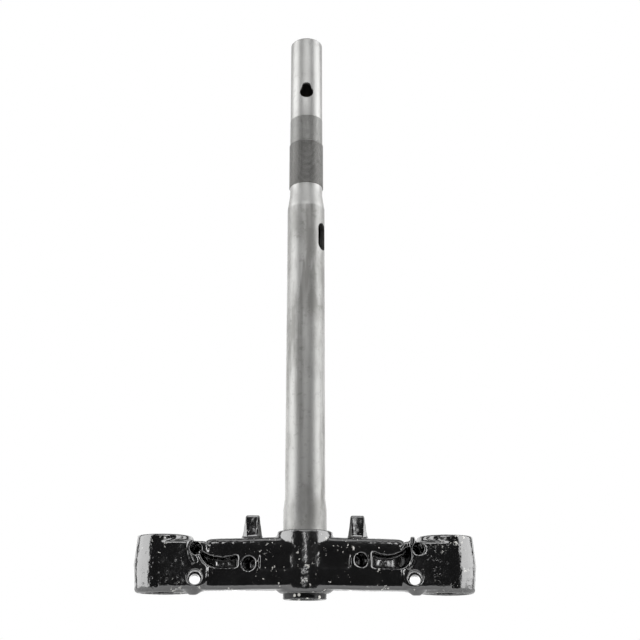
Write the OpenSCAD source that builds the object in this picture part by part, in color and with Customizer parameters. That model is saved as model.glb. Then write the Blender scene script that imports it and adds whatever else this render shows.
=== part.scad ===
// Lower fork yoke of a scooter with its steering stem.
// The stem is a turned steel tube that is pressed through the boss of a forged bracket.
// +Z runs up the stem. The origin is on its axis, in the plane of the boss's top, where
// the lower bearing seats. The forks stand on the +Y side, and -Y is the side that is seen.

/* [Stem] */
// Outer diameter of the long plain body
body_d = 28; // [26:0.5:34]
// Length of the plain body
body_len = 218; // [120:1:320]
// Wall of the tube along the body
body_wall = 3.5; // [2:0.25:5]
// Diameter of the lower bearing seat
seat_d = 30; // [29:0.1:32]
// How much larger the press fit in the boss is than the bearing seat
press_more = 0.6; // [0.3:0.1:1.5]
// Height of the bearing seat above the boss
seat_len = 14.5; // [8:0.5:30]
// Length of the cone between the seat and the body
seat_cone = 8; // [2:0.5:16]
// Diameter of the tail below the boss
tail_d = 29.8; // [26:0.1:30]
// How far the tail stands out below the boss
tail_len = 3.9; // [2:0.1:12]
// Bevel around the tail's lower end
tail_bevel = 0.8; // [0.4:0.1:2]

/* [Head of the stem] */
// Length of the cone between the body and the relief groove
neck_len = 11.5; // [4:0.5:20]
// Diameter of the relief groove under the threads
relief_d = 24.6; // [23:0.1:24.8]
// Width of the relief groove
relief_len = 6; // [2:0.5:12]
// Outer diameter of the adjusting nut's thread
nut_thread_d = 26; // [25.4:0.1:28]
// Length of the adjusting nut's thread
nut_thread_len = 36.5; // [15:0.5:60]
// Outer diameter of the lock nut's thread
lock_thread_d = 25; // [24.8:0.1:25.4]
// Length of the lock nut's thread
lock_thread_len = 21.5; // [8:0.5:40]
// Diameter of the plain head that the handlebar clamps
head_d = 24.8; // [24:0.1:24.8]
// Length of the plain head
head_len = 69; // [58:0.5:100]
// Wall of the tube along the head and the threads
head_wall = 2.9; // [1.5:0.1:4]
// Small bevel at the ends of the head and the threads
end_bevel = 0.7; // [0.2:0.1:1]

/* [Holes in the stem] */
// Diameter of the clamp bolt's cross hole
cross_d = 10.5; // [6:0.1:12]
// Distance from the open top down to the cross hole
cross_drop = 48.5; // [20:0.5:50]
// Diameter of the smaller hole that lengthens the cross hole upwards on the near side
cross_lobe_d = 7.2; // [4:0.1:8]
// How far the smaller hole stands above the cross hole
cross_lobe_rise = 4.4; // [4:0.1:6]
// Width of the steering lock's slot
lock_w = 9.3; // [5:0.1:12]
// Length of the steering lock's slot, ends included
lock_len = 21.6; // [14:0.1:30]
// Distance from the top of the body down to the middle of the slot
lock_drop = 24.5; // [18:0.5:60]
// Angle of the slot round the stem, from -Y towards +X
lock_turn = 60; // [30:1:90]

/* [Boss] */
// Largest diameter of the boss round the stem
boss_d = 39.6; // [38:0.1:50]
// Height of the boss
boss_h = 41; // [36:0.5:60]
// How far the boss's side leans in from its middle to its upper edge
boss_lean = 0.3; // [0.1:0.1:1]
// Radius of the boss's lower edge
boss_foot_round = 3; // [0.5:0.1:3.5]
// Radius of the boss's upper edge
boss_top_round = 0.8; // [0.2:0.1:2]
// Fillet between the boss and the bar's top
boss_fillet = 3; // [1:0.1:3.5]

/* [Bar] */
// How far the bar's top lies below the boss's top
bar_drop = 4; // [2:0.1:5]
// Height of the bar
bar_h = 34.8; // [32:0.1:35]
// Distance from the stem's axis to the front face at the middle
bar_front = 19.2; // [17:0.1:19.4]
// Distance from the stem's axis to the back face at the middle
bar_back = 8; // [6:0.5:12]
// Half the width of the straight middle
bar_hub = 5; // [4:0.5:8]
// How far the bar's ends lie behind the front face of the ears
bar_step = 0.5; // [0.3:0.1:4]
// Radius along the top edges
bar_top_round = 7.5; // [2:0.25:8]
// Radius along the bottom edges
bar_foot_round = 3; // [1:0.25:4]
// Length over which the bar's top falls to the ears' shoulder
bar_fall = 7; // [4:0.5:12]
// How far each face leans back from the parting line to its edge
forge_draft = 1; // [0.25:0.05:1.5]

/* [Fork clamps] */
// Distance between the two fork tubes
fork_spacing = 196; // [176:1:230]
// How far the fork tubes stand in front of the stem's axis
fork_offset = 18; // [16:0.5:24]
// Diameter of a fork tube
fork_d = 31; // [27:0.5:33]
// Wall of a clamp at the parting line
clamp_wall = 5.9; // [5:0.1:7]
// How far the clamps' tops lie below the boss's top
clamp_drop = 1.3; // [0.5:0.1:3]
// Height of a clamp
clamp_h = 39; // [37:0.1:42]
// How much smaller a clamp's radius is at its ends than at the parting line
clamp_draft = 1.7; // [0.5:0.1:2]
// Radius of a clamp's lower outer edge
clamp_foot_round = 3.4; // [1:0.1:3.5]
// Radius of a clamp's upper outer edge
clamp_top_round = 1.6; // [0.5:0.1:2.5]
// Width of the saw cut that lets a clamp close
slit_w = 3; // [1.5:0.25:4]

/* [Ears] */
// How far the ears' shoulder lies below the boss's top
ear_drop = 6.2; // [5.2:0.1:7]
// How far the ears' underside lies above the bar's
ear_lift = 0.4; // [0.2:0.1:1]
// Metal round a pinch bolt at the inner end of an ear
ear_wall = 3.6; // [2.5:0.1:6]
// How far the ears' front face lies behind the front of the clamp
ear_inset = 0.1; // [0.1:0.1:2]
// How far the back ear's face lies inside the back of the clamp
ear_back_inset = 1.2; // [0.5:0.1:4]
// How far each face of the ears leans back from its middle to its edge
ear_draft = 0.5; // [0.25:0.05:1]
// Radius along the ears' upper edges
ear_top_round = 1.8; // [0.5:0.1:3]
// Radius along the ears' lower edges
ear_foot_round = 3.2; // [1:0.1:4]
// Fillet between a clamp and the ears' shoulder
shoulder_fillet = 2.6; // [1:0.1:4]
// Diameter of the stub under each ear where it leaves the ear
stub_d = 15; // [10:0.5:17]
// Diameter of the stub's tip
stub_tip_d = 5; // [3:0.5:8]
// How far the stub reaches below the ear
stub_len = 3.4; // [1:0.1:6]
// Radius round the stub's tip
stub_round = 1.7; // [0.5:0.1:2.2]
// How far outside the lower pinch bolt the stub stands
stub_out = 2; // [0:0.25:3]

/* [Pinch bolts] */
// Diameter of a lower pinch bolt's clearance hole
pinch_d = 9; // [7.6:0.1:9.2]
// Diameter of an upper pinch bolt's clearance hole
pinch_up_d = 7.8; // [7.6:0.1:8]
// Diameter of a pinch bolt's tapped hole in the back ear
pinch_tap_d = 7.2; // [5:0.1:7.4]
// Metal between a lower pinch bolt and the fork tube at the saw cut
pinch_gap = 1.7; // [1.5:0.1:4]
// How far the lower pinch bolts turn outwards on their way back
pinch_turn = 6.5; // [0:0.5:8]
// How far outside the lower one the right upper pinch bolt lies
up_out_right = 3.1; // [0:0.1:3.1]
// How far outside the lower one the left upper pinch bolt lies
up_out_left = 0.3; // [0:0.1:3.1]
// Depth of the upper pinch bolts below the boss's top
pinch_up_drop = 11.3; // [11.2:0.1:14]
// Depth of the lower pinch bolts below the boss's top
pinch_low_drop = 30.5; // [28:0.1:31.5]
// Depth of the upper tapped holes into the back ear
pinch_blind = 14; // [8:0.5:16]

/* [Crests] */
// Width of the crest round the outer end of a pocket
crest_w = 2.4; // [1:0.1:3]
// How far a crest stands in front of the ear
crest_proud = 0.7; // [0.3:0.1:1.5]
// How far outside the left pocket its crest lies
crest_out_left = 5; // [0:0.1:6]
// Height of the tab at the right crest's upper end above the ears' shoulder
tab_h = 3; // [1:0.1:4.5]
// Width of the tab
tab_w = 3.6; // [2:0.1:5]
// Depth of the tab
tab_deep = 5; // [3:0.1:8]
// Radius of the tab's upper corners
tab_round = 1; // [0.3:0.1:1.7]
// Angle below level at which the right crest starts
crest_low_right = 55; // [20:1:80]
// Angle above level at which the right crest ends
crest_high_right = 10; // [5:1:60]
// Angle below level at which the left crest starts
crest_low_left = 32; // [20:1:80]
// Angle above level at which the left crest ends
crest_high_left = 14; // [5:1:60]

/* [Pockets] */
// Distance from the stem's axis to the side holes
side_x = 38; // [34:0.5:42]
// Depth of the right side hole below the boss's top
side_drop = 19.4; // [18:0.1:20]
// How much lower the left side hole lies
left_drop = 2.6; // [0:0.1:3]
// Width of the block round a side hole
block_w = 14.5; // [12.5:0.1:16]
// Diameter of a side hole at the bottom of its thread
side_d = 8.8; // [5:0.1:9]
// Diameter of a side hole's countersunk mouth
side_mouth_d = 10.4; // [9.6:0.1:12]
// Depth of a side hole
side_depth = 15; // [8:0.5:16]
// How far inside a lower pinch bolt's mouth the pockets end
pocket_in = 1.9; // [0:0.1:3]
// Depth of the pockets' lower side below the boss's top
pocket_foot = 24.3; // [23:0.1:26]
// Height of the right pocket where its roof hangs lowest
pocket_h_right = 8.1; // [6:0.1:9]
// Height of the left pocket where its roof hangs lowest
pocket_h_left = 6.4; // [5:0.1:9]
// Radius of the right pocket's roof, which hangs down in the middle
roof_r_right = 18.3; // [17:0.1:40]
// Radius of the left pocket's roof
roof_r_left = 27; // [17:0.1:40]
// How far inside a pocket's middle its roof hangs lowest
roof_in = 3; // [0:0.25:4]
// How far the outer end of a pocket rises above the lowest point of its roof
pocket_rise = 6; // [3:0.1:6.5]
// Radius of the right pocket's lower outer corner
horn_r_right = 8.4; // [5:0.1:14]
// Radius of the left pocket's lower outer corner
horn_r_left = 14; // [5:0.1:14]
// Radius of the scooped outer end of a pocket, seen from above
pocket_scoop = 12; // [8:0.5:13]
// Metal between a pocket and the bar's back face
pocket_web = 5.5; // [4:0.25:7]
// Height of the shallow channel across the middle
channel_h = 11.6; // [8:0.1:13]
// Depth of the shallow channel
channel_deep = 0.9; // [0.3:0.1:1.2]

/* [Steering stops] */
// Distance from the stem's axis to a steering stop
stop_x = 36; // [34:0.5:40]
// Height of a stop above the bar
stop_h = 15.2; // [8:0.1:24]
// Width of a stop at its top
stop_top_w = 9.6; // [6:0.1:11]
// Width of a stop at its base
stop_base_w = 14; // [11.5:0.1:16]
// Depth of a stop at its top
stop_top_t = 7.5; // [5:0.1:8]
// Depth of a stop at its base
stop_base_t = 10; // [8:0.1:11]
// Radius along the upper edges of a stop
stop_round = 1; // [0.3:0.1:2]
// Bevel along the upright edges of a stop
stop_bevel = 1.2; // [0.5:0.1:2.5]

/* [Hidden] */
$fn = 48;
// Straight steps that a rounded edge is drawn in
arc_steps = 5;

paint = "#1d1d1f";
steel = "#a4a5a3";
// A cut runs past the faces that it opens by this much
over = 1;
// Solids of one piece run into each other by this much
bite = 0.5;

// Heights along the stem, from the boss's top
tail_z = -boss_h - tail_len;
cone_z = seat_len + seat_cone;
neck_z = cone_z + body_len;
relief_z = neck_z + neck_len;
nut_z = relief_z + relief_len;
lock_z = nut_z + nut_thread_len;
head_z = lock_z + lock_thread_len;
top_z = head_z + head_len;
press_d = seat_d + press_more;
body_bore = body_d - 2 * body_wall;
head_bore = head_d - 2 * head_wall;

// Heights of the bracket
bar_top = -bar_drop;
bar_foot = bar_top - bar_h;
parting = bar_top - bar_h / 2;
clamp_top = -clamp_drop;
clamp_foot = clamp_top - clamp_h;
ear_top = -ear_drop;
ear_foot = bar_foot + ear_lift;

// Places across and along the bracket
fork_x = fork_spacing / 2;
clamp_r = fork_d / 2 + clamp_wall;
ear_front = fork_offset - clamp_r + ear_inset;
ear_back = fork_offset + clamp_r - ear_back_inset;
slit_front = fork_offset - slit_w / 2;
slit_back = fork_offset + slit_w / 2;
pinch_lean = (fork_offset - ear_front) * tan(pinch_turn);
pinch_x = fork_x - fork_d / 2 - pinch_gap - pinch_d / 2 - pinch_lean;
ear_x = pinch_x - pinch_d / 2 - ear_wall;
arm_root = bar_hub / 2;
arm_end = ear_x + ear_wall;
bar_end = ear_front + bar_step;
front_turn = atan2(bar_end + bar_front, ear_x - bar_hub);
back_turn = atan2(slit_front - bar_back, ear_x);
block_end = side_x + block_w / 2;
pocket_end = pinch_x - pocket_in;
roof_x = (block_end + pocket_end) / 2 - roof_in;
channel_end = side_x - block_w / 2;

// The arc that rounds corner p, between the points a and b, by radius r
function corner_arc(p, a, b, r) =
    let (
        u = (a - p) / norm(a - p),
        v = (b - p) / norm(b - p),
        half = acos(u * v) / 2,
        centre = p + (u + v) / norm(u + v) * r / sin(half),
        start = p + u * r / tan(half) - centre,
        side = cross(u, v) > 0 ? -1 : 1,
        turn = side * (180 - 2 * half)
    )
    [for (i = [0 : arc_steps])
        let (t = turn * i / arc_steps)
        centre + [start.x * cos(t) - start.y * sin(t), start.x * sin(t) + start.y * cos(t)]];

// An outline whose corners are rounded, each by its own radius
module rounded_outline(points, radii) {
    n = len(points);
    polygon([for (i = [0 : n - 1])
        each radii[i] > 0
            ? corner_arc(points[i], points[(i + n - 1) % n], points[(i + 1) % n], radii[i])
            : [points[i]]]);
}

// Draws its children, an outline in Y and Z, out along X from x0 to x1
module along_x(x0, x1) {
    translate([x0, 0, 0]) rotate([90, 0, 90]) linear_extrude(x1 - x0) children();
}

// Draws its children, an outline in X and Z, out along Y from y0 to y1
module along_y(y0, y1) {
    translate([0, y1, 0]) rotate([90, 0, 0]) linear_extrude(y1 - y0) children();
}

// The stem's outer surface, turned from one bar
module stem_turning() {
    rotate_extrude()
        polygon([
            [0, tail_z],
            [tail_d / 2 - tail_bevel, tail_z],
            [tail_d / 2, tail_z + tail_bevel],
            [tail_d / 2, -boss_h],
            [press_d / 2, -boss_h],
            [press_d / 2, 0],
            [seat_d / 2, 0],
            [seat_d / 2, seat_len],
            [body_d / 2, cone_z],
            [body_d / 2, neck_z],
            [relief_d / 2, relief_z],
            [relief_d / 2, nut_z],
            [nut_thread_d / 2 - end_bevel, nut_z],
            [nut_thread_d / 2, nut_z + end_bevel],
            [nut_thread_d / 2, lock_z - end_bevel],
            [lock_thread_d / 2, lock_z],
            [lock_thread_d / 2, head_z - end_bevel],
            [head_d / 2, head_z],
            [head_d / 2, top_z - end_bevel],
            [head_d / 2 - end_bevel, top_z],
            [0, top_z]
        ]);
}

// The bore, which narrows with the neck
module stem_bore() {
    rotate_extrude()
        polygon([
            [0, tail_z - over],
            [body_bore / 2, tail_z - over],
            [body_bore / 2, neck_z],
            [head_bore / 2, relief_z],
            [head_bore / 2, top_z + over],
            [0, top_z + over]
        ]);
}

// The clamp bolt's hole goes through both walls. The near wall is worn into a pear shape.
module cross_hole() {
    hole_z = top_z - cross_drop;
    translate([0, 0, hole_z]) rotate([90, 0, 0]) cylinder(d = cross_d, h = body_d + 2 * over, center = true);
    translate([0, 0, hole_z + cross_lobe_rise]) rotate([90, 0, 0]) cylinder(d = cross_lobe_d, h = body_d);
}

// The steering lock's bolt enters this slot from one side
module lock_slot() {
    straight = lock_len - lock_w;
    translate([0, 0, neck_z - lock_drop]) rotate([90, 0, lock_turn]) linear_extrude(body_d) {
        square([lock_w, straight], center = true);
        for (end = [-1, 1]) translate([0, end * straight / 2]) circle(d = lock_w);
    }
}

module steering_stem() {
    color(steel) difference() {
        stem_turning();
        stem_bore();
        cross_hole();
        lock_slot();
    }
}

// The boss swells a little from each end to its middle, as a forging does
module boss() {
    end_r = boss_d / 2 - forge_draft;
    rotate_extrude() rounded_outline([
        [0, 0],
        [0, -boss_h],
        [end_r, -boss_h],
        [boss_d / 2, -boss_h / 2],
        [boss_d / 2 - boss_lean, 0]
    ], [0, 0, boss_foot_round, 0, boss_top_round]);
}

// Hollow fillets between the boss's sides and the bar's top
module boss_fillets() {
    foot_r = boss_d / 2 - forge_draft;
    flat_y = bar_front_at(boss_d / 2) + forge_draft + bar_top_round;
    intersection() {
        rotate_extrude() difference() {
            translate([foot_r - bite, bar_top - bite]) square(boss_fillet + bite);
            translate([foot_r + boss_fillet, bar_top + boss_fillet]) circle(boss_fillet);
        }
        translate([-boss_d, flat_y, bar_top - over]) cube([2 * boss_d, -flat_y + boss_fillet, boss_h]);
    }
}

// Upright section of the bar's front or back half, with its face at 0 and its metal behind it
module bar_section(depth) {
    rounded_outline([
        [depth, bar_foot],
        [depth, bar_top],
        [forge_draft, bar_top],
        [0, parting],
        [forge_draft, bar_foot]
    ], [0, 0, bar_top_round, 0, bar_foot_round]);
}

// One arm of the bar. It starts inside the boss and ends inside the ear.
module arm() {
    depth = bar_front + fork_offset + clamp_r;
    intersection() {
        union() {
            translate([0, -bar_front, 0]) along_x(arm_root, bar_hub) bar_section(depth);
            translate([bar_hub, -bar_front, 0]) rotate([0, 0, front_turn])
                along_x(-arm_root, fork_spacing) bar_section(depth);
        }
        translate([0, bar_back, 0]) rotate([0, 0, back_turn])
            along_x(-bar_front, fork_spacing) mirror([1, 0]) bar_section(depth);
        along_y(-depth, depth) polygon([
            [arm_root, bar_foot - over],
            [arm_end, bar_foot - over],
            [arm_end, ear_top - bite],
            [arm_end - bar_fall, bar_top + over],
            [arm_root, bar_top + over]
        ]);
    }
}

// A fork clamp: a ring with draft above and below its middle
module clamp_ring() {
    end_r = clamp_r - clamp_draft;
    translate([fork_x, fork_offset, 0]) rotate_extrude() rounded_outline([
        [0, clamp_top],
        [0, clamp_foot],
        [end_r, clamp_foot],
        [clamp_r, clamp_top - clamp_h / 2],
        [end_r, clamp_top]
    ], [0, 0, clamp_foot_round, 0, clamp_top_round]);
}

// The ears in front view. Their inner end follows the two pinch bolts.
module ear_outline() {
    corner = pinch_d / 2 + ear_wall;
    rounded_outline([
        [ear_x, ear_foot],
        [fork_x, ear_foot],
        [fork_x, ear_top],
        [ear_x, ear_top]
    ], [corner, 0, 0, corner / 2]);
}

// The ears in side view, from the front face at y0 to the back face at y1
module ear_section(y0, y1) {
    middle = (ear_top + ear_foot) / 2;
    rounded_outline([
        [y0 + ear_draft, ear_foot],
        [y1 - ear_draft, ear_foot],
        [y1, middle],
        [y1 - ear_draft, ear_top],
        [y0 + ear_draft, ear_top],
        [y0, middle]
    ], [ear_foot_round, ear_foot_round, 0, ear_top_round, ear_top_round, 0]);
}

module ears() {
    intersection() {
        along_y(ear_front, ear_back) ear_outline();
        along_x(ear_x, fork_x) ear_section(ear_front, ear_back);
    }
}

// A hollow fillet that runs from the clamp down to the ears' shoulder
module shoulder() {
    foot_r = clamp_r - clamp_draft;
    intersection() {
        translate([fork_x, fork_offset, 0]) rotate_extrude() difference() {
            translate([0, ear_top - bite]) square([foot_r + shoulder_fillet, shoulder_fillet + bite]);
            translate([foot_r + shoulder_fillet, ear_top + shoulder_fillet]) circle(shoulder_fillet);
        }
        along_x(ear_x, fork_x) ear_section_up(ear_front, ear_back);
    }
}

// The ears' side view, carried on upwards past the shoulder
module ear_section_up(y0, y1) {
    inset = ear_draft + ear_top_round;
    translate([y0 + inset, parting]) square([y1 - y0 - 2 * inset, clamp_top - parting]);
}

// A thin crest of metal round the outer end of a pocket, between two angles from level. It starts
// inside the pocket, which then trims it.
module crest(corner_r, gap, start, finish) {
    inner = corner_r + gap - bite;
    outer = corner_r + gap + crest_w;
    far = 2 * outer;
    translate([pocket_end - corner_r, 0, corner_r - pocket_foot])
        along_y(ear_front - crest_proud, ear_front + tab_deep) intersection() {
            difference() {
                circle(outer);
                circle(inner);
            }
            polygon([
                [0, 0],
                [far * cos(start), far * sin(start)],
                [far, 0],
                [far * cos(finish), far * sin(finish)]
            ]);
        }
}

// The upright run of the right crest, which ends in a tab above the ears' shoulder
module tab() {
    x0 = pocket_end - bite;
    z0 = horn_r_right - pocket_foot;
    along_y(ear_front - crest_proud, ear_front + tab_deep) rounded_outline([
        [x0, z0],
        [x0 + tab_w, z0],
        [x0 + tab_w, ear_top + tab_h],
        [x0, ear_top + tab_h]
    ], [0, 0, tab_round, tab_round]);
}

// A blunt stub of metal under each ear
module stub() {
    translate([pinch_x + stub_out, (ear_front + slit_front) / 2, 0]) rotate_extrude() rounded_outline([
        [0, parting],
        [0, ear_foot - stub_len],
        [stub_tip_d / 2, ear_foot - stub_len],
        [stub_d / 2, ear_foot],
        [stub_d / 2, parting]
    ], [0, 0, stub_round, 0, 0]);
}

// A steering stop: a post that tapers both ways, with its upright edges bevelled
module steering_stop() {
    foot_y = bar_front_at(stop_x) + bar_top_round + forge_draft;
    mid_y = foot_y + stop_base_t / 2;
    stop_z = bar_top + stop_h;
    root_z = bar_top - bar_top_round;
    translate([stop_x, mid_y, 0]) intersection() {
        along_y(-stop_base_t, stop_base_t) rounded_outline([
            [-stop_base_w / 2, root_z],
            [stop_base_w / 2, root_z],
            [stop_base_w / 2, bar_top],
            [stop_top_w / 2, stop_z],
            [-stop_top_w / 2, stop_z],
            [-stop_base_w / 2, bar_top]
        ], [0, 0, 0, stop_round, stop_round, 0]);
        along_x(-stop_base_w, stop_base_w) rounded_outline([
            [-stop_base_t / 2, root_z],
            [stop_base_t / 2, root_z],
            [stop_base_t / 2, bar_top],
            [stop_top_t / 2, stop_z],
            [-stop_top_t / 2, stop_z],
            [-stop_base_t / 2, bar_top]
        ], [0, 0, 0, stop_round, stop_round, 0]);
        translate([0, 0, root_z]) linear_extrude(stop_z - root_z) stop_plan();
    }
}

// Plan of a stop, whose corners are cut off
module stop_plan() {
    w = stop_base_w / 2;
    t = stop_base_t / 2;
    c = stop_bevel + (stop_base_w - stop_top_w) / 2;
    polygon([
        [-w, -t + c], [-w + c, -t], [w - c, -t], [w, -t + c],
        [w, t - c], [w - c, t], [-w + c, t], [-w, t - c]
    ]);
}

// Place of the bar's front face at a distance x from the stem's axis
function bar_front_at(x) = -bar_front + max(0, x - bar_hub) * tan(front_turn);
// Place of the bar's back face at a distance x from the stem's axis
function bar_back_at(x) = bar_back + x * tan(back_turn);

// A pocket in front view: a rounded lower outer corner, and a roof that hangs down in the middle
module pocket_outline(corner_r, height, roof_r) {
    floor_z = -pocket_foot;
    roof_z = floor_z + height;
    difference() {
        intersection() {
            rounded_outline([
                [block_end, floor_z],
                [pocket_end, floor_z],
                [pocket_end, 0],
                [block_end, 0]
            ], [0, corner_r, 0, 0]);
            translate([block_end, floor_z]) square([pocket_end - block_end, height + pocket_rise]);
        }
        translate([roof_x, roof_z + roof_r]) circle(roof_r);
    }
}

// A pocket in plan: a floor along the bar's back, and an outer end scooped up to the ear's face
module pocket_plan() {
    floor_x = pocket_end - pocket_scoop;
    front_y = ear_front - crest_proud - over;
    floor_y = front_y + over + pocket_scoop;
    y0 = -bar_front - over;
    difference() {
        polygon([
            [block_end, y0],
            [block_end, bar_back_at(block_end) - pocket_web],
            [floor_x, min(bar_back_at(floor_x) - pocket_web, floor_y)],
            [pocket_end, min(bar_back_at(floor_x) - pocket_web, floor_y)],
            [pocket_end, y0]
        ]);
        difference() {
            translate([floor_x, floor_y - pocket_scoop]) square(pocket_scoop + over);
            translate([floor_x, floor_y - pocket_scoop]) circle(pocket_scoop);
        }
    }
}

module pocket(corner_r, height, roof_r) {
    intersection() {
        along_y(-bar_front - over, fork_offset) pocket_outline(corner_r, height, roof_r);
        translate([0, 0, bar_foot]) linear_extrude(bar_h) pocket_plan();
    }
}

// A blind side hole with a countersunk mouth, square to the arm's front face
module side_hole(drop) {
    mouth_deep = (side_mouth_d - side_d) / 2;
    translate([side_x, bar_front_at(side_x), -side_drop - drop]) rotate([0, 0, front_turn]) rotate([-90, 0, 0]) {
        translate([0, 0, -over]) cylinder(d = side_d, h = side_depth + over);
        rotate_extrude() polygon([
            [0, -over],
            [side_mouth_d / 2 + over, -over],
            [side_d / 2, mouth_deep],
            [0, mouth_deep]
        ]);
    }
}

// The shallow channel across the middle, from the boss to the block
module channel(drop) {
    z0 = -side_drop - drop / 2 - channel_h / 2;
    depth = bar_front + fork_offset;
    intersection() {
        union() {
            translate([-bite, -bar_front - over, z0]) cube([bar_hub + bite, over + channel_deep, channel_h]);
            translate([bar_hub, -bar_front, z0]) rotate([0, 0, front_turn])
                translate([-over, -depth + channel_deep, 0]) cube([depth, depth, channel_h]);
        }
        translate([-bite, -depth, z0]) cube([channel_end + bite, 2 * depth, channel_h]);
    }
}

// Draws its children along the line of a lower pinch bolt, which runs back from the ear's face
module along_pinch_bolt() {
    translate([pinch_x, ear_front, -pinch_low_drop]) rotate([0, 0, -pinch_turn]) rotate([-90, 0, 0]) children();
}

// What is drilled and sawn at one end of the bracket
module clamp_cuts(up_out) {
    ear_deep = ear_back - ear_front;
    up_x = pinch_x + up_out;
    translate([fork_x, fork_offset, clamp_foot - over]) cylinder(d = fork_d, h = clamp_h + 2 * over);
    translate([ear_x - over, slit_front, ear_foot - stub_len - over])
        cube([fork_x - ear_x + over, slit_w, clamp_h + stub_len + 2 * over]);
    intersection() {
        along_pinch_bolt() translate([0, 0, -ear_deep]) cylinder(d = pinch_d, h = 2 * ear_deep);
        translate([ear_x, ear_front - ear_deep, ear_foot])
            cube([fork_x, slit_back - over - ear_front + ear_deep, clamp_h]);
    }
    along_pinch_bolt() translate([0, 0, slit_front - ear_front + over]) cylinder(d = pinch_tap_d, h = ear_deep);
    translate([up_x, slit_front + over, -pinch_up_drop]) rotate([90, 0, 0])
        cylinder(d = pinch_up_d, h = ear_deep);
    translate([up_x, slit_back - over, -pinch_up_drop]) rotate([-90, 0, 0])
        cylinder(d = pinch_tap_d, h = pinch_blind + over);
}

// The forged shapes that both halves have in common
module half_bracket() {
    arm();
    clamp_ring();
    ears();
    shoulder();
    stub();
    steering_stop();
}

// The forging before the boss is added: two unlike halves, with the shallow channel between them
module two_arms() {
    difference() {
        union() {
            half_bracket();
            mirror([1, 0, 0]) half_bracket();
            crest(horn_r_right, 0, -crest_low_right, crest_high_right);
            mirror([1, 0, 0]) crest(horn_r_left, crest_out_left, -crest_low_left, crest_high_left);
            tab();
        }
        channel(0);
        mirror([1, 0, 0]) channel(left_drop);
    }
}

module fork_bracket() {
    color(paint) difference() {
        union() {
            two_arms();
            boss();
            boss_fillets();
        }
        clamp_cuts(up_out_right);
        mirror([1, 0, 0]) clamp_cuts(up_out_left);
        pocket(horn_r_right, pocket_h_right, roof_r_right);
        mirror([1, 0, 0]) pocket(horn_r_left, pocket_h_left, roof_r_left);
        side_hole(0);
        mirror([1, 0, 0]) side_hole(left_drop);
        translate([0, 0, -boss_h - over]) cylinder(d = press_d, h = boss_h + 2 * over);
    }
}

steering_stem();
fork_bracket();
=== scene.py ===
"""Looks of a scooter's lower fork bracket with its steering stem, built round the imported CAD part."""

import math

import bmesh
import bpy
from bpy.props import FloatProperty, FloatVectorProperty, IntProperty, PointerProperty
from mathutils import Matrix, Vector, noise


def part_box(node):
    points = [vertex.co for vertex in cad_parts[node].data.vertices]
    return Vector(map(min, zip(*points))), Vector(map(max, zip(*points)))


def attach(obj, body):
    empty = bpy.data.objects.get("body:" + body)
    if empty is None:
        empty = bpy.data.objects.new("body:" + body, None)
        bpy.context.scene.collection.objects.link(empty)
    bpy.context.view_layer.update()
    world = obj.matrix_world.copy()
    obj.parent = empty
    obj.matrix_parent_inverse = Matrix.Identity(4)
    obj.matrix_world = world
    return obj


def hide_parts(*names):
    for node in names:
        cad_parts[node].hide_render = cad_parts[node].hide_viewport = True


bl_info = {
    "name": "Fork bracket looks",
    "version": (1, 0, 0),
    "blender": (4, 5, 0),
    "location": "View3D > Sidebar > Fork bracket",
    "description": "Dresses the forged fork bracket and its turned stem, and sets the studio round them",
    "category": "Object",
}

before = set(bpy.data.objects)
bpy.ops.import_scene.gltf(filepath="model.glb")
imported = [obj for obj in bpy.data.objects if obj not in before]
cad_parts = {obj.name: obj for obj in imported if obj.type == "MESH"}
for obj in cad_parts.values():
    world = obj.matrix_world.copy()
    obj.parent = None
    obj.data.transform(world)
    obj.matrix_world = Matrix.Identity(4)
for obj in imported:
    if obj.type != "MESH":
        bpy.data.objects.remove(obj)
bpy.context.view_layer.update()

MM = 0.001
QUARTER_TURN = math.radians(90)
STEM_BOTTOM, STEM_TOP = (corner.z for corner in map(Vector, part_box("steering_stem")))

# Points nearer than this are joined, on the bracket's skin and between two turns of a thread
WELD = 0.001 * MM
THREAD_WELD = 0.01 * MM

# Turned edges sharper than the first are rounded, and those over the second are shaded sharp
BEVEL_ANGLE = math.radians(20)
SHARP_ANGLE = math.radians(32)

# How finely round shapes are drawn
CUTTER_SEGMENTS = 48
THREAD_SEGMENTS = 72
CLOTH_SEGMENTS = 48
ROUNDING_STEPS = 4

# The forging's unevenness: waves in a metre, and the share of the swell that the skin lies inwards
BROAD_WAVES = 60
SMALL_WAVES = 400
SHRINK = 0.5

# The attribute that marks worn edges, and how far a point stands proud where it is full
EDGE = "edge"
PROUD = 0.12 * MM

# The camera shows nothing nearer than this
NEAREST = 10 * MM

# Each lamp: the setting of its power, its width and height, its place and the point that it faces,
# in metres
LAMPS = {
    "left_softbox": ("side_power", (0.8, 1.6), (-0.75, -0.11, 0.55), (0, -0.11, 0.55)),
    "right_softbox": ("side_power", (0.8, 1.6), (0.75, -0.11, 0.55), (0, -0.11, 0.55)),
    "lit_wall": ("back_power", (5.0, 1.1), (0, 1.6, 0.45), (0, 0, 0.45)),
    "nose_strip": ("nose_power", (0.07, 0.3), (0, -0.95, 0.1), (0, 0, 0.1)),
    "front_strip": ("front_power", (0.1, 0.4), (0, -0.95, 0.45), (0, 0, 0.45)),
    "high_softbox": ("high_power", (1.0, 0.8), (0, -0.95, 1.05), (0, 0, 1.05)),
    "overhead": ("top_power", (0.9, 0.6), (0, 0.1, 1.1), (0, 0, 0)),
}


# Settings


def a_length(name, description, metres):
    """A setting that is a length."""
    return FloatProperty(name=name, description=description, default=metres, unit="LENGTH")


def an_angle(name, description, degrees):
    """A setting that is an angle."""
    turn = math.radians(degrees)
    return FloatProperty(name=name, description=description, default=turn, subtype="ANGLE")


def a_power(name, description, watts):
    """A setting that is a lamp's power."""
    return FloatProperty(name=name, description=description, default=watts, unit="POWER")


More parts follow.
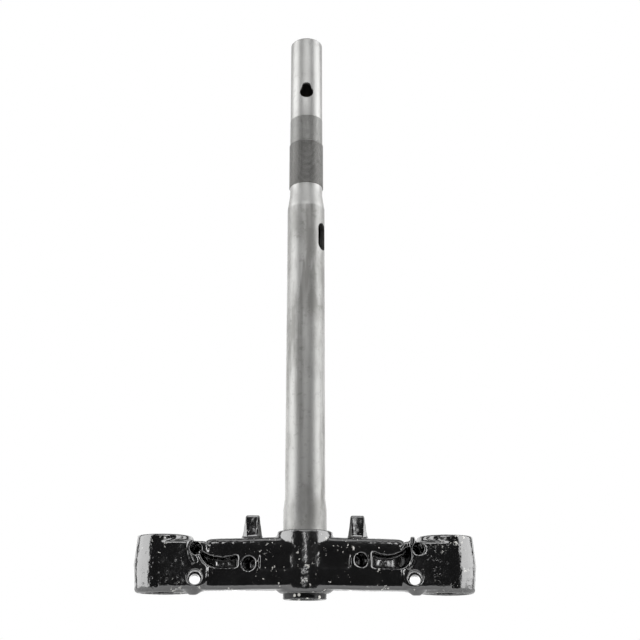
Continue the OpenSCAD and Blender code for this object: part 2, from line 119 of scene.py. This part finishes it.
def a_colour(name, description, red_green_blue):
    """A setting that is a colour."""
    return FloatVectorProperty(
        name=name, description=description, default=red_green_blue, size=3, subtype="COLOR"
    )


class StemSettings(bpy.types.PropertyGroup):
    """Sizes of the turned stem, as in the part's source."""

    seat_radius: a_length("Seat radius", "Radius of the lower bearing seat", 15 * MM)
    seat_top: a_length("Seat top", "Height of the seat's upper end", 14.5 * MM)
    press_radius: a_length("Press radius", "Radius of the fit inside the boss", 15.3 * MM)
    boss_height: a_length("Boss height", "Length of the fit inside the boss", 41 * MM)
    tail_radius: a_length("Tail radius", "Radius of the end below the boss", 14.9 * MM)
    tail_bevel: a_length("Tail bevel", "Bevel round the tail's lower end", 0.8 * MM)
    body_radius: a_length("Body radius", "Radius of the long plain body", 14 * MM)
    body_bottom: a_length("Body bottom", "Height where the body starts", 22.5 * MM)
    body_top: a_length("Body top", "Height where the neck starts", 240.5 * MM)
    relief_radius: a_length("Relief radius", "Radius of the groove under the threads", 12.3 * MM)
    relief_bottom: a_length("Relief bottom", "Height of the groove's lower end", 252 * MM)
    nut_radius: a_length("Nut thread radius", "Crest radius of the adjusting nut's thread", 13 * MM)
    nut_bottom: a_length("Nut thread bottom", "Height where the adjusting nut's thread starts", 258 * MM)
    lock_radius: a_length("Lock thread radius", "Crest radius of the lock nut's thread", 12.5 * MM)
    lock_bottom: a_length("Lock thread bottom", "Height where the lock nut's thread starts", 294.5 * MM)
    head_radius: a_length("Head radius", "Radius of the plain head", 12.4 * MM)
    head_bottom: a_length("Head bottom", "Height where the plain head starts", 316 * MM)
    body_bore: a_length("Body bore", "Radius of the bore below the neck", 10.5 * MM)
    head_bore: a_length("Head bore", "Radius of the bore above the neck", 9.5 * MM)
    end_round: a_length("End rounding", "Rounding at the head's open end", 1.3 * MM)
    edge_round: a_length("Edge rounding", "Rounding of the turned edges", 0.25 * MM)
    pitch: a_length("Thread pitch", "Rise of both threads in one turn", 1 * MM)
    thread_depth: a_length("Thread depth", "Depth of both threads", 0.6 * MM)
    cross_radius: a_length("Cross hole radius", "Radius of the clamp bolt's hole", 5.25 * MM)
    cross_height: a_length("Cross hole height", "Height of the clamp bolt's hole", 336.5 * MM)
    lobe_radius: a_length("Lobe radius", "Radius of the wear above the cross hole", 3.6 * MM)
    lobe_rise: a_length("Lobe rise", "Height of the wear above the cross hole", 4.4 * MM)
    slot_width: a_length("Slot width", "Width of the steering lock's slot", 9.3 * MM)
    slot_length: a_length("Slot length", "Length of the steering lock's slot", 21.6 * MM)
    slot_height: a_length("Slot height", "Height of the slot's middle", 216 * MM)
    slot_turn: an_angle("Slot turn", "Turn of the slot from the front to the right", 60)
    segments: IntProperty(
        name="Segments", description="Flats in one turn of the lathe", default=96, min=24
    )


class BracketSettings(bpy.types.PropertyGroup):
    """How the CAD bracket becomes a rough forging."""

    voxel: a_length("Voxel", "Size of the mesh that the forging is redrawn with", 0.85 * MM)
    smoothing: IntProperty(
        name="Smoothing", description="Passes that soften the forging's edges", default=3, min=0
    )
    swell: a_length("Swell", "Depth of the forging's broad unevenness", 0.22 * MM)
    pitting: a_length("Pitting", "Depth of the forging's small unevenness", 0.08 * MM)


class FinishSettings(bpy.types.PropertyGroup):
    """Colours of the surfaces."""

    paint: a_colour("Paint", "Colour of the black paint", (0.004, 0.004, 0.0043))
    chip_and_glint: a_colour("Chips", "Colour of chipped and dusty spots", (0.8, 0.79, 0.74))
    # This colour is used for the real chips and dust on the bracket, and also for the white spots on the
    # stem's black tail, which are painted highlights.
    steel: a_colour("Steel", "Colour of the clean steel", (0.42, 0.42, 0.412))
    stain: a_colour("Stain", "Colour of the stained steel", (0.213, 0.211, 0.203))
    oxide: a_colour("Oxide", "Colour of the oxidised bore and thread roots", (0.07, 0.062, 0.054))
    floor: a_colour("Floor", "Colour of the floor", (0.82, 0.82, 0.82))
    cloth: a_colour("Cloth", "Colour of the dark cloth round the camera", (0.13, 0.13, 0.13))


class StageSettings(bpy.types.PropertyGroup):
    """Camera, floor and lights."""

    lens: FloatProperty(
        name="Lens", description="Focal length in millimetres", default=56.25, unit="CAMERA"
    )
    sensor: FloatProperty(
        name="Sensor", description="Width of the sensor in millimetres", default=36, unit="CAMERA"
    )
    shift: FloatProperty(
        name="Shift", description="Shift of the lens to the right, in picture widths", default=0.0223
    )
    distance: a_length("Distance", "How far the camera stands in front of the stem", 695.9 * MM)
    below: a_length("Below", "How far the camera stands below the boss's top", 77.3 * MM)
    pitch: an_angle("Pitch", "How far the camera looks up", 18.3)
    roll: an_angle("Roll", "How far the camera leans", 0.2)
    cloth_reach: a_length("Cloth reach", "Radius of the dark cloth round the camera's side", 2500 * MM)
    cloth_back: a_length("Cloth back", "How far behind the stem the dark cloth ends", 1360 * MM)
    floor_drop: a_length("Floor drop", "How far the floor lies below the boss's top", 95 * MM)
    floor_width: a_length("Floor width", "Width of the floor, between the side softboxes", 1400 * MM)
    floor_front: a_length("Floor front", "Where the floor starts, behind the stem's axis", -150 * MM)
    floor_back: a_length("Floor back", "Where the floor ends, behind the stem's axis", 1600 * MM)
    side_power: a_power("Side power", "Power of each side softbox", 11.5)
    back_power: a_power("Back power", "Power of the lit wall behind", 19.0)
    nose_power: a_power("Nose power", "Power of the short strip before the boss", 0.4)
    front_power: a_power("Front power", "Power of the front strip", 0.18)
    high_power: a_power("High power", "Power of the softbox above the camera", 7.0)
    top_power: a_power("Top power", "Power of the overhead softbox", 1.6)
    fill: FloatProperty(name="Fill", description="Strength of the light from the room", default=0.05)


# Shader arithmetic


class Shade:
    """One output in a shader tree, which ordinary arithmetic works on."""

    def __init__(self, tree, socket=None):
        self.tree = tree
        self.socket = socket

    def node(self, kind, settings=None, output=0, **inputs):
        """Adds a node, sets its properties and inputs, and gives one of its outputs."""
        made = self.tree.nodes.new(kind)
        for name, value in (settings or {}).items():
            setattr(made, name, value)
        for name, value in inputs.items():
            key = int(name[1:]) if name[0] == "i" and name[1:].isdigit() else name.replace("_", " ")
            if isinstance(value, Shade):
                self.tree.links.new(value.socket, made.inputs[key])
            else:
                made.inputs[key].default_value = value
        return Shade(self.tree, made.outputs[output])

    def outputs(self):
        """Every output of the node that this one belongs to, by name."""
        return {socket.name: Shade(self.tree, socket) for socket in self.socket.node.outputs}

    def math(self, operation, other=None):
        """A Math node on this value and, where the operation takes one, on another."""
        inputs = {"i0": self} if other is None else {"i0": self, "i1": other}
        return self.node("ShaderNodeMath", {"operation": operation}, **inputs)

    def __add__(self, other):
        return self.math("ADD", other)

    def __sub__(self, other):
        return self.math("SUBTRACT", other)

    def __rsub__(self, other):
        return self.node("ShaderNodeMath", {"operation": "SUBTRACT"}, i0=other, i1=self)

    def __mul__(self, other):
        return self.math("MULTIPLY", other)

    __radd__ = __add__
    __rmul__ = __mul__

    def ramp(self, low, high):
        """0 below low, 1 above high and smooth between."""
        smooth = {"interpolation_type": "SMOOTHSTEP", "clamp": True}
        return self.node("ShaderNodeMapRange", smooth, Value=self, From_Min=low, From_Max=high)

    def mix(self, first, second):
        """first where this is 0, second where it is 1."""
        first, second = (end if isinstance(end, Shade) else (*end, 1) for end in (first, second))
        return self.node("ShaderNodeMix", {"data_type": "RGBA"}, output=2, i0=self, i6=first, i7=second)

    def noise(self, per_metre, detail, roughness=0.55, stretch=(1, 1, 1), shift=0.0):
        """Fractal noise with that many waves a metre, from this place vector."""
        moved = (shift, shift, shift)
        place = self.node("ShaderNodeMapping", Vector=self, Location=moved, Scale=stretch)
        fractal = {"Scale": per_metre, "Detail": detail, "Roughness": roughness}
        return self.node("ShaderNodeTexNoise", Vector=place, **fractal)

    def spots(self, per_metre, size, shift=0.0):
        """1 inside scattered round spots of that share of their cell, else 0."""
        place = self.node("ShaderNodeMapping", Vector=self, Location=(shift, shift, shift))
        cells = {"Scale": per_metre, "Randomness": 1.0}
        near = self.node("ShaderNodeTexVoronoi", {"feature": "F1"}, Vector=place, **cells)
        return 1 - near.ramp(size * 0.7, size)


def place_of(tree):
    """Object coordinates."""
    return Shade(tree).node("ShaderNodeTexCoord", output="Object")


def parts_of(place):
    """The three coordinates of a place vector."""
    return place.node("ShaderNodeSeparateXYZ", i0=place).outputs().values()


def new_material(name, metallic, ior=1.5):
    """A material and its principled shader."""
    material = bpy.data.materials.new(name)
    material.use_nodes = True
    shader = material.node_tree.nodes["Principled BSDF"]
    shader.inputs["Metallic"].default_value = metallic
    shader.inputs["IOR"].default_value = ior
    return material, shader


def connect(shader, tree, **values):
    """Links each value to the shader's input of that name."""
    for name, value in values.items():
        tree.links.new(value.socket, shader.inputs[name.replace("_", " ")])


def bumped(height, depth, strength):
    """A normal from a height map whose full range is that deep in metres."""
    return height.node("ShaderNodeBump", Height=height, Distance=depth, Strength=strength)


def paint_material(finish):
    """Gloss black paint over a rough forging, with pits, dust and chips."""
    material, shader = new_material("black_paint", 0.0, ior=2.4)
    tree = material.node_tree
    place = place_of(tree)
    x, _, z = parts_of(place)
    aside = x.math("ABSOLUTE")
    # The clamps and the boss's nose are rougher and more handled than the arms between them
    ends = aside.ramp(76 * MM, 88 * MM)
    middle = 1 - aside.ramp(4 * MM, 14 * MM)
    handled = (ends + middle * 0.5 + z.ramp(-9 * MM, 2 * MM) * 0.3).math("MINIMUM", 1.0)
    # Edges that stick out are matt in places
    worn = place.node("ShaderNodeAttribute", {"attribute_name": EDGE}, output="Fac")
    matt = worn.ramp(0.15, 0.5) * place.noise(75, 2, shift=14).ramp(0.4, 0.5)
    # Round specks of dust, flaked chips where it was handled, and scratches along the arms
    patches = place.noise(30, 3).ramp(0.5, 0.62)
    dust = place.spots(560, 0.13) * place.noise(70, 2, shift=3).ramp(0.57, 0.65)
    flakes = (place.noise(330, 4, 0.65, shift=2) + handled * 0.03).ramp(0.62, 0.65)
    marks = place.noise(62, 3, 0.6, shift=8).ramp(0.5, 0.56)
    chips = (dust + flakes * marks).math("MINIMUM", 1.0)
    scratches = place.noise(150, 4, 0.7, (1, 1, 9), 5).ramp(0.68, 0.74) * patches
    dusty = place.noise(90, 5, 0.7, shift=1).ramp(0.4, 0.75)
    tint = dusty.mix(finish.paint, [c * 1.8 for c in finish.paint])
    colour = (chips * 0.8 + scratches * 0.05).math("MINIMUM", 1.0).mix(tint, finish.chip_and_glint)
    rough = 0.09 + middle * 0.05 + dusty * 0.06 + patches * 0.04 + chips * 0.4 + matt * 0.12
    # The forging's grain under the paint, the paint's own orange peel, and pits
    peel = place.noise(520, 3, 0.6)
    cast = place.noise(120, 3, 0.6, shift=4)
    pits = place.spots(300, 0.3, 11) * place.noise(45, 2, shift=6).ramp(0.45, 0.6)
    unevenness = ends * 0.75 + middle * 0.6 + 0.18 - z.ramp(0, 3 * MM) * 0.1
    relief = (cast + peel * (0.35 + middle * 0.35) - pits * 0.4) * unevenness
    normal = bumped(relief, 0.35 * MM, 0.75)
    connect(shader, tree, Base_Color=colour, Roughness=rough, Normal=normal)
    return material


def steel_material(finish, stem):
    """Turned steel that has stood in a store: rings, stains, dark roots and bore, and a painted tail whose
    white spots are painted highlights.
    """
    material, shader = new_material("stem_steel", 1.0)
    tree = material.node_tree
    place = place_of(tree)
    x, y, z = parts_of(place)
    radius = (x * x + y * y).math("SQRT")
    inside = 1 - radius.ramp(stem.body_bore, stem.body_bore + 0.4 * MM)
    painted = 1 - z.ramp(-stem.boss_height - 0.1 * MM, -stem.boss_height + 0.1 * MM)
    # The heights of both threads, and the dark steel between their ridges
    soft = 0.6 * MM
    nut = z.ramp(stem.nut_bottom, stem.nut_bottom + soft)
    nut = nut * (1 - z.ramp(stem.lock_bottom - soft, stem.lock_bottom))
    lock = z.ramp(stem.lock_bottom, stem.lock_bottom + soft)
    lock = lock * (1 - z.ramp(stem.head_bottom - soft, stem.head_bottom))
    core = nut * (stem.nut_radius - stem.thread_depth) + lock * (stem.lock_radius - stem.thread_depth)
    roots = (nut + lock * 0.15) * (1 - (radius - core).ramp(0.1 * MM, 0.75 * stem.thread_depth))
    rings = place.noise(900, 2, 0.5, (0.02, 0.02, 1.0))
    stains = place.noise(34, 5, 0.62, (1, 1, 0.45)).ramp(0.42, 0.66)
    # The plain body is the most stained, up to a ragged line at the neck
    ragged = z + place.noise(90, 3) * (4 * MM)
    above = ragged.ramp(stem.body_top + 0.5 * MM, stem.body_top + 3 * MM)
    body = z.ramp(-stem.seat_top, 0) * (1 - above)
    freckles = place.noise(240, 4, 0.65, shift=2).ramp(0.54, 0.7)
    runs = place.noise(120, 3, 0.6, (1, 1, 0.08), 5).ramp(0.5, 0.72)
    # A band of smudges on the front, under the neck
    smudges = place.noise(75, 3, 0.6, (1, 1, 0.2), 9).ramp(0.46, 0.56) * (0 - y).ramp(9 * MM, 13 * MM)
    smudges = smudges * z.ramp(140 * MM, 175 * MM) * (1 - z.ramp(205 * MM, 225 * MM))
    dull = stains * (0.25 + body * 0.3) + freckles * 0.25 + runs * (0.15 + body * 0.3)
    dull = (dull + body * 0.3 + smudges * 0.55 + nut * 0.5).math("MINIMUM", 1.0)
    clean = dull.mix(finish.steel, finish.stain)
    dark = (inside + roots * 0.8).math("MINIMUM", 1.0)
    metal = dark.mix(clean, finish.oxide)
    # White spots on the black tail, in the chip colour: painted highlights that stand for glints of the
    # softboxes in its dimples.
    spots = place.spots(170, 0.24) * place.noise(60, 2, shift=3).ramp(0.45, 0.5)
    colour = painted.mix(metal, spots.mix(finish.paint, finish.chip_and_glint))
    neck = z.ramp(stem.body_top, stem.body_top + 3 * MM) * (1 - z.ramp(stem.relief_bottom, stem.nut_bottom))
    rough = 0.42 + neck * 0.1 + dull * 0.08 + rings * 0.06 + dark * 0.2 - painted * 0.3
    normal = bumped(rings + freckles * 0.3, 0.03 * MM, 0.5)
    metallic = 1 - (painted + dark * 0.5).math("MINIMUM", 1.0)
    connect(shader, tree, Base_Color=colour, Roughness=rough, Metallic=metallic, Normal=normal)
    return material


def cloth_material(finish):
    """Dark cloth, a little uneven."""
    material, shader = new_material("dark_cloth", 0.0)
    tree = material.node_tree
    colour = place_of(tree).noise(40, 2).mix(finish.cloth, [c * 0.8 for c in finish.cloth])
    connect(shader, tree, Base_Color=colour)
    shader.inputs["Roughness"].default_value = 1.0
    return material


def floor_material(finish):
    """Matt paper, a little uneven."""
    material, shader = new_material("floor_paper", 0.0)
    tree = material.node_tree
    place = place_of(tree)
    colour = place.noise(3, 2).mix(finish.floor, [c * 0.97 for c in finish.floor])
    connect(shader, tree, Base_Color=colour)
    shader.inputs["Roughness"].default_value = 0.9
    return material


# Meshes


def new_object(name, bm):
    """Turns a finished bmesh into an object at the origin."""
    mesh = bpy.data.meshes.new(name)
    bm.to_mesh(mesh)
    bm.free()
    piece = bpy.data.objects.new(name, mesh)
    bpy.context.scene.collection.objects.link(piece)
    return piece


def bake_modifiers(piece):
    """Applies the modifiers of a piece to its mesh."""
    graph = bpy.context.evaluated_depsgraph_get()
    baked = bpy.data.meshes.new_from_object(piece.evaluated_get(graph))
    piece.modifiers.clear()
    piece.data = baked


def shade(piece, material, sharp=None):
    """Gives a piece one material and smooth faces, with edges over the sharp angle kept."""
    piece.data.materials.clear()
    piece.data.materials.append(material)
    piece.data.shade_smooth()
    if sharp is not None:
        piece.data.set_sharp_from_angle(angle=sharp)


def cut(piece, bm):
    """Takes a cutter away from a piece."""
    cutter = new_object("cutter", bm)
    tool = piece.modifiers.new("cut", "BOOLEAN")
    tool.operation = "DIFFERENCE"
    tool.solver = "EXACT"
    tool.object = cutter
    bake_modifiers(piece)
    bpy.data.objects.remove(cutter)


def spin(bm, outline, segments, **options):
    """Turns an outline of points and edges once round the stem's axis."""
    turn = {"cent": (0, 0, 0), "axis": (0, 0, 1), "angle": math.tau, "steps": segments}
    bmesh.ops.spin(bm, geom=outline, **turn, **options)


def lathe(outline, segments):
    """A closed outline of (radius, height) points, turned round the stem's axis."""
    bm = bmesh.new()
    points = [bm.verts.new((radius, 0, height)) for radius, height in outline]
    edges = [bm.edges.new(pair) for pair in zip(points, points[1:] + points[:1])]
    spin(bm, points + edges, segments, use_merge=True)
    bmesh.ops.recalc_face_normals(bm, faces=bm.faces)
    return bm


def round_edges(bm, width):
    """Rounds the edges that are sharper than the bevel's angle."""
    sharp = [edge for edge in bm.edges if edge.is_manifold and edge.calc_face_angle(0) > BEVEL_ANGLE]
    bmesh.ops.bevel(
        bm,
        geom=sharp,
        offset=width,
        offset_type="OFFSET",
        segments=2,
        profile=0.5,
        affect="EDGES",
        material=-1,
        clamp_overlap=True,
    )


def thread(radius, depth, bottom, top, pitch):
    """A right-hand V thread between two heights: one turn, repeated up the stem."""
    bm = bmesh.new()
    root = radius - depth
    crest = (pitch * 3 / 8, pitch * 5 / 8)
    ridge = ((root, 0), (radius, crest[0]), (radius, crest[1]), (root, pitch))
    points = [bm.verts.new((r, 0, bottom + z)) for r, z in ridge]
    edges = [bm.edges.new(pair) for pair in zip(points, points[1:])]
    rise = Vector((0, 0, pitch / THREAD_SEGMENTS))
    spin(bm, points + edges, THREAD_SEGMENTS, dvec=rise)
    piece = new_object("thread", bm)
    wound = piece.modifiers.new("turns", "ARRAY")
    wound.count = round((top - bottom) / pitch) - 1
    wound.use_relative_offset = False
    wound.use_constant_offset = True
    wound.constant_offset_displace = (0, 0, pitch)
    wound.use_merge_vertices = True
    wound.merge_threshold = THREAD_WELD
    bake_modifiers(piece)
    return piece


def cross_cutter(radius, height, reach):
    """A cylinder along Y whose middle is on the stem's axis at that height."""
    bm = bmesh.new()
    lie = Matrix.Translation((0, 0, height)) @ Matrix.Rotation(QUARTER_TURN, 4, "X")
    size = {"segments": CUTTER_SEGMENTS, "radius1": radius, "radius2": radius, "depth": reach}
    bmesh.ops.create_cone(bm, cap_ends=True, matrix=lie, **size)
    return bm


def slot_cutter(stem):
    """A long hole with round ends, from the axis out through one wall."""
    bm = bmesh.new()
    bmesh.ops.create_circle(bm, cap_ends=True, segments=CUTTER_SEGMENTS, radius=stem.slot_width / 2)
    stretch = (stem.slot_length - stem.slot_width) / 2
    for vert in bm.verts:
        vert.co.y += math.copysign(stretch, vert.co.y)
    grown = bmesh.ops.extrude_face_region(bm, geom=bm.faces[:])
    moved = [item for item in grown["geom"] if isinstance(item, bmesh.types.BMVert)]
    bmesh.ops.translate(bm, verts=moved, vec=(0, 0, 2 * stem.body_radius))
    aim = Matrix.Rotation(stem.slot_turn, 4, "Z") @ Matrix.Rotation(QUARTER_TURN, 4, "X")
    bmesh.ops.transform(bm, matrix=Matrix.Translation((0, 0, stem.slot_height)) @ aim, verts=bm.verts)
    bmesh.ops.recalc_face_normals(bm, faces=bm.faces)
    return bm


def stem_outline(stem):
    """Half section of the tube: up the outside and down the bore."""
    nut_core = stem.nut_radius - stem.thread_depth
    lock_core = stem.lock_radius - stem.thread_depth
    turns = [QUARTER_TURN * step / ROUNDING_STEPS for step in range(ROUNDING_STEPS + 1)]
    rounding = [
        (
            stem.head_radius - stem.end_round * (1 - math.cos(turn)),
            STEM_TOP - stem.end_round * (1 - math.sin(turn)),
        )
        for turn in turns
    ]
    return [
        (stem.tail_radius - stem.tail_bevel, STEM_BOTTOM),
        (stem.tail_radius, STEM_BOTTOM + stem.tail_bevel),
        (stem.tail_radius, -stem.boss_height),
        (stem.press_radius, -stem.boss_height),
        (stem.press_radius, 0),
        (stem.seat_radius, 0),
        (stem.seat_radius, stem.seat_top),
        (stem.body_radius, stem.body_bottom),
        (stem.body_radius, stem.body_top),
        (stem.relief_radius, stem.relief_bottom),
        (stem.relief_radius, stem.nut_bottom),
        (nut_core, stem.nut_bottom + stem.thread_depth),
        (nut_core, stem.lock_bottom - stem.thread_depth),
        (lock_core, stem.lock_bottom),
        (lock_core, stem.head_bottom - stem.thread_depth),
        (stem.head_radius, stem.head_bottom),
        *rounding,
        (stem.head_bore, STEM_TOP),
        (stem.head_bore, stem.relief_bottom),
        (stem.body_bore, stem.body_top),
        (stem.body_bore, STEM_BOTTOM),
    ]


def build_stem(stem):
    """The turned tube, its holes and its two threads."""
    bm = lathe(stem_outline(stem), stem.segments)
    round_edges(bm, stem.edge_round)
    piece = new_object("turned_stem", bm)
    cut(piece, cross_cutter(stem.cross_radius, stem.cross_height, 4 * stem.head_radius))
    lobe = cross_cutter(stem.lobe_radius, stem.cross_height + stem.lobe_rise, 2 * stem.head_radius)
    bmesh.ops.translate(lobe, verts=lobe.verts, vec=(0, -stem.head_radius, 0))
    cut(piece, lobe)
    cut(piece, slot_cutter(stem))
    bm = bmesh.new()
    bm.from_mesh(piece.data)
    for radius, bottom, top in (
        (stem.nut_radius, stem.nut_bottom, stem.lock_bottom),
        (stem.lock_radius, stem.lock_bottom, stem.head_bottom),
    ):
        ridge = thread(radius, stem.thread_depth, bottom, top, stem.pitch)
        bm.from_mesh(ridge.data)
        bpy.data.objects.remove(ridge)
    bm.to_mesh(piece.data)
    bm.free()
    return piece


def mark_edges(bm, mesh):
    """Stores how far each vertex stands proud of its neighbours, where 1 is PROUD or more."""
    values = []
    for vert in bm.verts:
        near = [edge.other_vert(vert).co for edge in vert.link_edges]
        middle = sum(near, Vector()) / len(near)
        proud = (vert.co - middle).dot(vert.normal)
        values.append(min(1.0, max(0.0, proud / PROUD)))
    edge = mesh.attributes.new(EDGE, "FLOAT", "POINT")
    edge.data.foreach_set("value", values)


def roughen(bm, bracket):
    """Moves each vertex by a broad and a small noise, more inwards than outwards, as forged."""
    for vert in bm.verts:
        broad = noise.noise(vert.co * BROAD_WAVES) - SHRINK
        small = noise.noise(vert.co * SMALL_WAVES)
        vert.co += vert.normal * (broad * bracket.swell + small * bracket.pitting)
    bm.normal_update()


def build_bracket(bracket):
    """A copy of the CAD bracket, redrawn as one softened and uneven skin."""
    bm = bmesh.new()
    bm.from_mesh(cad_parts["fork_bracket"].data)
    bmesh.ops.remove_doubles(bm, verts=bm.verts, dist=WELD)
    piece = new_object("forged_bracket", bm)
    skin = piece.modifiers.new("skin", "REMESH")
    skin.mode = "VOXEL"
    skin.voxel_size = bracket.voxel
    soften = piece.modifiers.new("soften", "SMOOTH")
    soften.iterations = bracket.smoothing
    bake_modifiers(piece)
    bm = bmesh.new()
    bm.from_mesh(piece.data)
    bm.normal_update()
    roughen(bm, bracket)
    bm.to_mesh(piece.data)
    mark_edges(bm, piece.data)
    bm.free()
    return piece


# Stage


def area_light(name, size, place, aim, power):
    """A softbox of (width, height) at a place, turned to face another."""
    light = bpy.data.lights.new(name, "AREA")
    light.shape = "RECTANGLE"
    light.size, light.size_y = size
    light.energy = power
    lamp = bpy.data.objects.new(name, light)
    lamp.location = place
    lamp.rotation_euler = (Vector(aim) - Vector(place)).to_track_quat("-Z", "Y").to_euler()
    bpy.context.scene.collection.objects.link(lamp)


def white_room(fill):
    """A room that lights dimly, and is white to the camera, in reflections and through glass."""
    world = bpy.data.worlds.new("studio")
    world.use_nodes = True
    bpy.context.scene.world = world
    tree = world.node_tree
    tree.nodes.clear()
    output = tree.nodes.new("ShaderNodeOutputWorld")
    rays = Shade(tree).node("ShaderNodeLightPath").outputs()
    seen = rays["Is Camera Ray"]
    for kind in ("Is Glossy Ray", "Is Transmission Ray"):
        seen = seen.math("MAXIMUM", rays[kind])
    dim = seen.node("ShaderNodeBackground", Color=(1, 1, 1, 1), Strength=fill)
    white = seen.node("ShaderNodeBackground", Color=(1, 1, 1, 1), Strength=1.0)
    both = seen.node("ShaderNodeMixShader", i0=seen, i1=dim, i2=white)
    tree.links.new(both.socket, output.inputs["Surface"])


def paper_floor(stage, finish):
    """A rectangle of paper under the part, between the side softboxes."""
    bm = bmesh.new()
    # A grid of half a metre each way is a square of one metre, which is then stretched
    spread = Matrix.Diagonal((stage.floor_width, stage.floor_back - stage.floor_front, 1, 1))
    bmesh.ops.create_grid(bm, x_segments=1, y_segments=1, size=0.5, matrix=spread)
    middle = (stage.floor_front + stage.floor_back) / 2
    bmesh.ops.translate(bm, verts=bm.verts, vec=(0, middle, -stage.floor_drop))
    floor = new_object("floor", bm)
    shade(floor, floor_material(finish))


def dark_front(stage, finish):
    """Dark cloth round the camera's side of the room, which only reflections show."""
    bm = bmesh.new()
    rows = CLOTH_SEGMENTS // 2
    bmesh.ops.create_uvsphere(
        bm, u_segments=CLOTH_SEGMENTS, v_segments=rows, radius=stage.cloth_reach
    )
    end = {"plane_co": (0, stage.cloth_back, 0), "plane_no": (0, 1, 0)}
    everything = [*bm.verts, *bm.edges, *bm.faces]
    bmesh.ops.bisect_plane(bm, geom=everything, **end, clear_outer=True)
    bmesh.ops.reverse_faces(bm, faces=bm.faces)
    cloth = new_object("dark_cloth", bm)
    shade(cloth, cloth_material(finish))
    cloth.visible_camera = False


def lamps(stage):
    """Every lamp of the studio, with the lit wall hidden from the camera."""
    for name, (power, size, place, aim) in LAMPS.items():
        area_light(name, size, place, aim, getattr(stage, power))
    bpy.data.objects["lit_wall"].visible_camera = False


def low_camera(stage):
    """The camera before the stem, below the boss's top, looking up."""
    camera = bpy.data.cameras.new("camera")
    camera.lens = stage.lens
    camera.sensor_width = stage.sensor
    camera.shift_x = stage.shift
    camera.clip_start = NEAREST
    viewer = bpy.data.objects.new("camera", camera)
    viewer.location = (0, -stage.distance, -stage.below)
    look = Matrix.Rotation(QUARTER_TURN + stage.pitch, 4, "X") @ Matrix.Rotation(stage.roll, 4, "Z")
    viewer.rotation_euler = look.to_euler()
    bpy.context.scene.collection.objects.link(viewer)
    bpy.context.scene.camera = viewer


# Operators


class BRACKET_OT_stem(bpy.types.Operator):
    """Turn the steering stem and give it its steel"""

    bl_idname = "fork_bracket.stem"
    bl_label = "Turned stem"

    def execute(self, context):
        stem = context.scene.stem_settings
        piece = build_stem(stem)
        shade(piece, steel_material(context.scene.finish_settings, stem), SHARP_ANGLE)
        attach(piece, "root")
        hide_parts("steering_stem")
        return {"FINISHED"}


class BRACKET_OT_bracket(bpy.types.Operator):
    """Soften the forged bracket and paint it"""

    bl_idname = "fork_bracket.bracket"
    bl_label = "Forged bracket"

    def execute(self, context):
        piece = build_bracket(context.scene.bracket_settings)
        shade(piece, paint_material(context.scene.finish_settings))
        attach(piece, "root")
        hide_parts("fork_bracket")
        return {"FINISHED"}


class BRACKET_OT_stage(bpy.types.Operator):
    """Set the floor, the softboxes and the camera"""

    bl_idname = "fork_bracket.stage"
    bl_label = "Studio"

    def execute(self, context):
        stage = context.scene.stage_settings
        finish = context.scene.finish_settings
        context.scene.view_settings.view_transform = "Standard"
        paper_floor(stage, finish)
        white_room(stage.fill)
        dark_front(stage, finish)
        lamps(stage)
        low_camera(stage)
        return {"FINISHED"}


class BRACKET_PT_looks(bpy.types.Panel):
    """Lists the steps that dress the part"""

    bl_label = "Fork bracket"
    bl_space_type = "VIEW_3D"
    bl_region_type = "UI"
    bl_category = "Fork bracket"

    def draw(self, context):
        for step in OPERATORS:
            self.layout.operator(step.bl_idname)
        for group in SETTINGS:
            box = self.layout.box()
            settings = getattr(context.scene, group)
            for name in settings.bl_rna.properties.keys():
                if name not in ("rna_type", "name"):
                    box.prop(settings, name)


OPERATORS = (BRACKET_OT_stem, BRACKET_OT_bracket, BRACKET_OT_stage)
SETTINGS = {
    "stem_settings": StemSettings,
    "bracket_settings": BracketSettings,
    "finish_settings": FinishSettings,
    "stage_settings": StageSettings,
}
CLASSES = (*SETTINGS.values(), *OPERATORS, BRACKET_PT_looks)


def register():
    for item in CLASSES:
        bpy.utils.register_class(item)
    for name, group in SETTINGS.items():
        setattr(bpy.types.Scene, name, PointerProperty(type=group))


def unregister():
    for name in SETTINGS:
        delattr(bpy.types.Scene, name)
    for item in reversed(CLASSES):
        bpy.utils.unregister_class(item)


def main():
    register()
    bpy.ops.fork_bracket.stem()
    bpy.ops.fork_bracket.bracket()
    bpy.ops.fork_bracket.stage()


if __name__ == "__main__":
    main()
